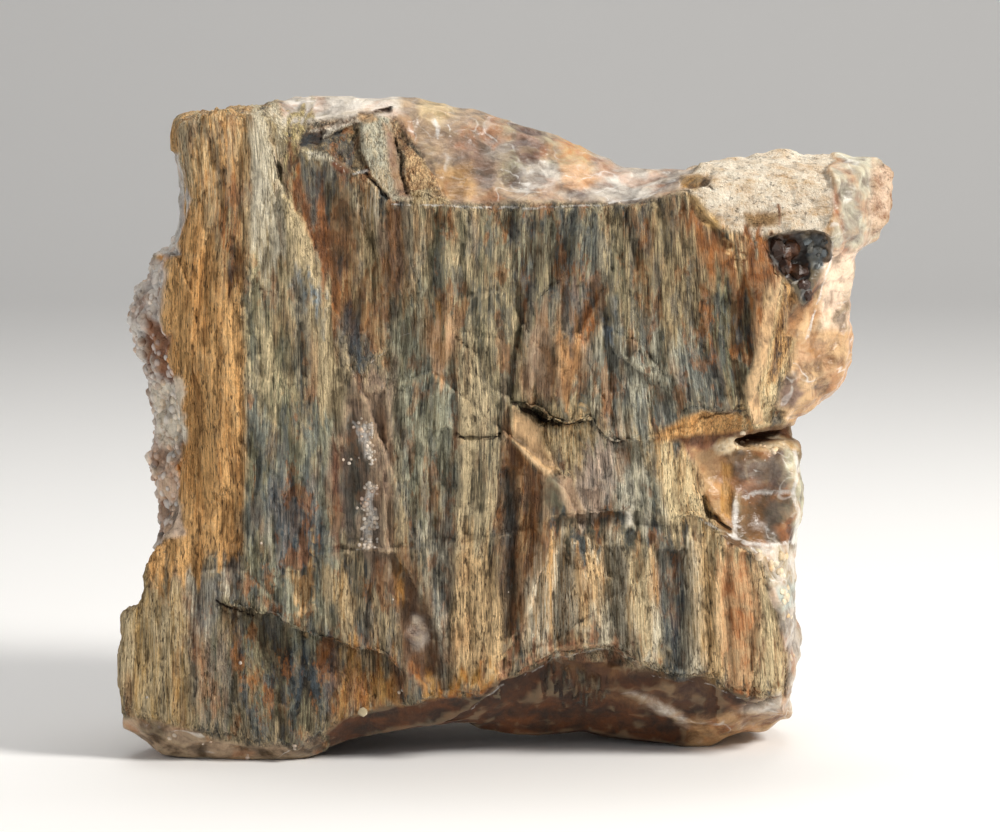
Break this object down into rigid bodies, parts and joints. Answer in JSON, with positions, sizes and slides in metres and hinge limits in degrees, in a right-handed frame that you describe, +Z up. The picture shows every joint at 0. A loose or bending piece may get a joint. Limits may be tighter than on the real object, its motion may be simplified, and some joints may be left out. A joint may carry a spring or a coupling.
{
  "type": "petrified wood specimen",
  "caption": "Free-standing broken block of petrified wood with a split wood-grain front, agate behind and a lumpy chalcedony crust on one side.",
  "frame": {"origin": "under the middle of the bounding box, on the surface that the stone stands on", "axes": "+X along the width, to the right seen from the split wood face; -Y the way the split face looks; +Z up, along the grain"},
  "size_m": [0.2604, 0.1082, 0.2211],
  "materials": {
    "stone": "split wood grain in tan, rust and slate, satin; glossy agate on the broken sides"
  },
  "bodies": {
    "root": {"petrified_wood": "stone"}
  },
  "joints": []
}
